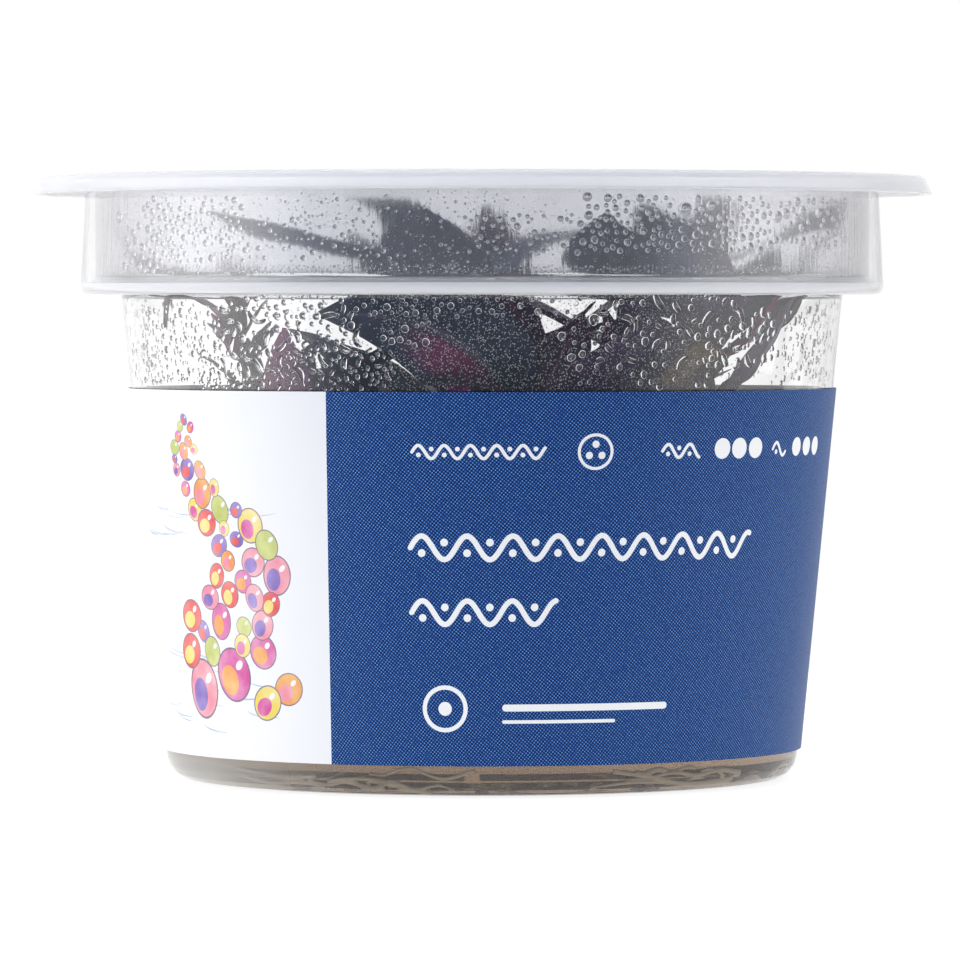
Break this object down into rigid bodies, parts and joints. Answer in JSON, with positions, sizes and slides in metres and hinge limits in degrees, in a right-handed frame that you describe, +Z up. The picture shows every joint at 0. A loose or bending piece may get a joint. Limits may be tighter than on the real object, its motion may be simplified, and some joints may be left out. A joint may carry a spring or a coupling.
{
  "type": "alternanthera reineckii in a lidded culture cup",
  "caption": "Young red-leaved aquarium plants on nutrient gel in a clear tapered plastic cup with a press-on lid, a wide brim and a wrap-round printed label.",
  "frame": {"origin": "on the table under the middle of the cup's foot", "axes": "+Z up along the cup's axis, -Y towards the front of the label, +X to the right seen from the front"},
  "size_m": [0.107, 0.107, 0.0714],
  "materials": {
    "clear_plastic": "gloss",
    "label_film": "satin",
    "gel": "gloss",
    "stem": "satin",
    "leaf_green": "satin",
    "leaf_lilac": "satin"
  },
  "bodies": {
    "root": {"cup": "clear_plastic", "label": "label_film", "leaf_1_1": "leaf_lilac", "leaf_1_2": "leaf_green", "leaf_1_3": "leaf_lilac", "leaf_2_1": "leaf_lilac", "leaf_2_2": "leaf_green", "leaf_2_3": "leaf_lilac", "leaf_2_4": "leaf_green", "leaf_2_5": "leaf_lilac", "leaf_2_6": "leaf_green", "leaf_2_7": "leaf_lilac", "leaf_3_1": "leaf_lilac", "leaf_3_2": "leaf_green", "leaf_3_3": "leaf_lilac", "leaf_3_4": "leaf_green", "leaf_3_5": "leaf_lilac", "leaf_3_6": "leaf_green", "leaf_4_1": "leaf_lilac", "leaf_4_10": "leaf_green", "leaf_4_2": "leaf_green", "leaf_4_3": "leaf_lilac", "leaf_4_4": "leaf_green", "leaf_4_5": "leaf_lilac", "leaf_4_6": "leaf_green", "leaf_4_7": "leaf_lilac", "leaf_4_8": "leaf_green", "leaf_4_9": "leaf_lilac", "leaf_5_1": "leaf_lilac", "leaf_5_2": "leaf_green", "leaf_5_3": "leaf_lilac", "leaf_5_4": "leaf_green", "leaf_5_5": "leaf_lilac", "leaf_5_6": "leaf_green", "leaf_6_1": "leaf_lilac", "leaf_6_2": "leaf_green", "leaf_6_3": "leaf_lilac", "leaf_6_4": "leaf_green", "leaf_6_5": "leaf_lilac", "leaf_6_6": "leaf_green", "leaf_7_1": "leaf_lilac", "leaf_7_2": "leaf_green", "leaf_7_3": "leaf_lilac", "leaf_7_4": "leaf_green", "leaf_7_5": "leaf_lilac", "leaf_7_6": "leaf_green", "leaf_7_7": "leaf_lilac", "leaf_7_8": "leaf_green", "leaf_7_9": "leaf_lilac", "lid": "clear_plastic", "nutrient_gel": "gel", "stem_1": "stem", "stem_2": "stem", "stem_3": "stem", "stem_4": "stem", "stem_5": "stem", "stem_6": "stem", "stem_7": "stem"}
  },
  "joints": []
}
